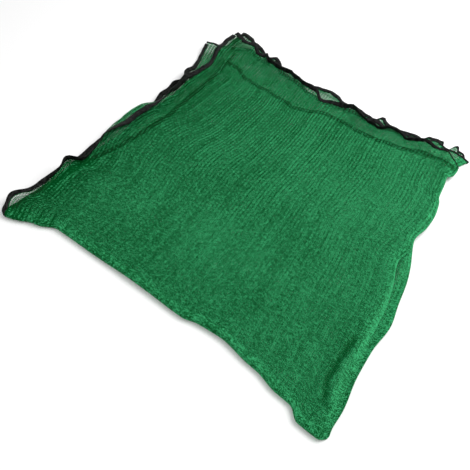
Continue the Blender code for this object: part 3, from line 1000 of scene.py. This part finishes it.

# %% [markdown]
# ## The knit's shades
#
# The green's tone is a sum. Stitches are paler by chance as painted glints, specks of grain are paler
# or darker by chance, and dense columns are paler where the ribs are clear. That is partly from their
# denser knit and partly painted light. Streaks run along the ribs. Painted light makes the net paler by
# R, and painted shade makes it darker along the rim from B to L. It is darker towards T and by the left
# hem, and parts that lie over a tape add amounts of their own.

# %% The knitted net's material


def knit():
    """Green knitted net: its strands as alpha and relief, and its shades of green."""
    made, wire, shader, _, across, along = new_material("green_knit")
    u, v = across * SIDE - HALF_SIDE, along * SIDE - HALF_SIDE
    clear, hem, by_t, painted_light_by_r, painted_shade_by_rim = net_places(u, v)
    in_dense, column, place, stitch = stitch_places(wire, across, along)
    more = (in_dense - 0.5) * clear
    solid, chain, from_laid = strands(in_dense, place, stitch, more, closed_holes(u, v))

    cell = wire.node("ShaderNodeCombineXYZ", sockets={"X": column, "Y": (stitch * 2.0).math("FLOOR")})
    sockets = {"Vector": wire.out(cell)}
    glint = wire.out(wire.node("ShaderNodeTexWhiteNoise", {"noise_dimensions": "2D"}, sockets))
    grain = noise(wire, across * (SIDE / GRAIN), along * (SIDE / GRAIN), 1.0) - 0.5
    streak = noise(wire, across * (SIDE / STREAK[0]), along * (SIDE / STREAK[1])) - 0.5
    broad = noise(wire, across * BROAD, along * BROAD, 3.0) - 0.5
    stored = {name: wire.node("ShaderNodeAttribute", {"attribute_name": name}) for name in net_shades}
    ends = [TAPE_WIDTH / MM / 2 + out for out in OVER_TAPE]
    over_tape = wire.out(stored["from_tape"], "Fac").ramp(*ends)

    # painted glints: stitches paler by chance, as if they caught the light
    tone = glint * glint * PALER["glint"] + grain * PALER["grain"] + PALER["everywhere"]
    # dense columns paler: partly their denser knit, partly painted light on raised columns and painted
    # shade in open ones
    tone += more * PALER["dense column, clear"] + (in_dense - 0.5) * PALER["dense column"]
    tone += streak * (clear * PALER["streak, clear"] + PALER["streak"]) + broad * PALER["broad patch"]
    # painted light by R, and painted shade along the rim from B to L where the sheet curves over
    tone += painted_light_by_r * PALER["by R"] + painted_shade_by_rim * PALER["by the rim"]
    tone += by_t * PALER["by T"] + hem * PALER["left hem"]
    tone += over_tape * (in_dense * PALER["dense, over a tape"] + PALER["over a tape"])
    # painted shade along the creases, and painted highlights beside them and along the light lines by R
    # and B
    tone += wire.out(stored["crease"], "Fac")
    green = tone.ramp(0.0, 1.0).mix(DARK_GREEN, LIGHT_GREEN)

    crown = (1 - from_laid * CROWN).most(0.0)
    relief = in_dense * RELIEF["dense column"] + crown * RELIEF["laid tape"] + chain * RELIEF["chain"]
    sockets = {"Strength": RELIEF_STRENGTH, "Distance": RELIEF_DEPTH, "Height": relief}
    bump = wire.node("ShaderNodeBump", sockets=sockets)
    dull, glinting = ROUGHNESS
    rough = glint * (glinting - dull) + dull
    # painted glow: the knit gives off its own green as light, for light coming through the thin plastic
    join(shader, {"Base Color": green, "Emission Color": green, "Alpha": solid, "Roughness": rough})
    join(shader, {"Normal": wire.out(bump)})
    shader.inputs["Emission Strength"].default_value = PAINTED_GLOW
    shader.inputs["Specular IOR Level"].default_value = SHEEN
    return made


net.data.materials.append(knit())
print("nodes in the knit:", len(net.data.materials[0].node_tree.nodes))

# %% [markdown]
# ## The tape's weave
#
# The tape is woven plastic ribbon: black and matt, with threads along it and across it. At this size
# they are relief only. Worn patches are a little greyer, or the tape would be one flat black.

# %% The woven tape's material
# from thread to thread, and how deep the weave is, in metres
WEAVE = 0.0011
WEAVE_DEPTH = 0.0003
BLACK = (0.0012, 0.0014, 0.0014, 1.0)
WORN_BLACK = (0.026, 0.027, 0.026, 1.0)

# worn patches along a tape, their share of its tone, the rest being relief, and the tones that are
# black and fully worn
WORN_PATCHES = 220.0
WEAR_SHARE = 0.9
WORN = (0.40, 0.72)
TAPE_ROUGHNESS = (0.45, 0.75)
TAPE_SHEEN = 0.07


def weave():
    """Black woven tape: threads along it and across it, and worn patches."""
    made, wire, shader, flat, around, along = new_material("black_weave")
    weft = (along * (SIDE / WEAVE * math.pi * 2)).math("SINE")
    warp = (around * (SIDE / WEAVE * math.pi)).math("SINE")
    relief = weft * warp * 0.5 + 0.5
    sockets = {"Vector": flat, "Scale": WORN_PATCHES, "Detail": 2.0}
    wear = wire.out(wire.node("ShaderNodeTexNoise", sockets=sockets))
    sockets = {"Strength": RELIEF_STRENGTH, "Distance": WEAVE_DEPTH, "Height": relief}
    bump = wire.node("ShaderNodeBump", sockets=sockets)
    tone = (wear * WEAR_SHARE + relief * (1 - WEAR_SHARE)).ramp(*WORN)
    least, most = TAPE_ROUGHNESS
    join(shader, {"Base Color": tone.mix(BLACK, WORN_BLACK), "Normal": wire.out(bump)})
    join(shader, {"Roughness": wear * (most - least) + least})
    shader.inputs["Specular IOR Level"].default_value = TAPE_SHEEN
    return made


black = weave()
for made in tapes.values():
    made.data.materials.append(black)
print("threads along a tape:", round(SIDE / WEAVE))

# %% [markdown]
# ## The table, the light and the camera
#
# The photo has a white surface and soft light from above. A large lamp stands high on the right, a
# weak one on the left, and a bright sky fills the shade. The camera looks down by 50 degrees.

# %% The stage
# half the white surface's side in metres, and its colour; then each lamp's place and side, in
# metres, and its power in watts
FLOOR = 6.0
WHITE = (0.95, 0.95, 0.95, 1.0)
FLOOR_ROUGHNESS = 0.7
LAMPS = {
    "key_lamp": ((1.9, 0.3, 2.2), 2.2, 84),
    "fill_lamp": ((-1.6, -1.2, 2.2), 1.8, 10),
}
SKY = (1.0, 1.0, 1.0, 1.0)
SKY_STRENGTH = 0.60

# how many holes of the knit one ray of light may pass through
HOLES_IN_A_ROW = 24


def stage_floor():
    """A wide white surface under the pile."""
    corners = [(-1, -1, 0), (1, -1, 0), (1, 1, 0), (-1, 1, 0)]
    mesh = bpy.data.meshes.new("floor")
    mesh.from_pydata(FLOOR * np.array(corners, float), [], [(0, 1, 2, 3)])
    made = bpy.data.objects.new("floor", mesh)
    bpy.context.scene.collection.objects.link(made)
    material = bpy.data.materials.new("white_floor")
    material.use_nodes = True
    shader = material.node_tree.nodes["Principled BSDF"]
    shader.inputs["Base Color"].default_value = WHITE
    shader.inputs["Roughness"].default_value = FLOOR_ROUGHNESS
    mesh.materials.append(material)


def soft_lamp(name, place, size, power):
    """A square lamp at a place, in metres, that faces the pile's middle."""
    light = bpy.data.lights.new(name, "AREA")
    light.size = size
    light.energy = power
    made = bpy.data.objects.new(name, light)
    bpy.context.scene.collection.objects.link(made)
    x, y, z = place
    made.location = place
    made.rotation_euler = (math.atan2(math.hypot(x, y), z), 0.0, math.atan2(-x, y) + math.pi)


stage_floor()
for name, (place, size, power) in LAMPS.items():
    soft_lamp(name, place, size, power)

world = bpy.data.worlds.new("studio")
world.use_nodes = True
world.node_tree.nodes["Background"].inputs["Color"].default_value = SKY
world.node_tree.nodes["Background"].inputs["Strength"].default_value = SKY_STRENGTH
bpy.context.scene.world = world
bpy.context.scene.view_settings.view_transform = "Standard"
bpy.context.scene.cycles.transparent_max_bounces = HOLES_IN_A_ROW
print("lamps:", sorted(LAMPS))

# %% The camera
# the lens in mm, and how high over the table and how far from the pile's middle the camera is
LENS = 50.0
ELEVATION = math.radians(50)
DISTANCE = 1.66

camera = bpy.data.objects.new("camera", bpy.data.cameras.new("camera"))
camera.data.lens = LENS
back, up = DISTANCE * math.cos(ELEVATION), DISTANCE * math.sin(ELEVATION)
camera.location = (-MIDDLE[0], -MIDDLE[1] - back, up)
camera.rotation_euler = (math.pi / 2 - ELEVATION, 0.0, 0.0)
bpy.context.scene.collection.objects.link(camera)
bpy.context.scene.camera = camera
print("camera:", [round(x, 3) for x in camera.location])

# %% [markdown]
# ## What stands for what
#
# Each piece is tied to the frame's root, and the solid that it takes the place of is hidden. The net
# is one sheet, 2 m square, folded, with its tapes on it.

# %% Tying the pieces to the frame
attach(net, "root")
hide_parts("net")
for node, made in tapes.items():
    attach(made, "root")
    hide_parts(node)
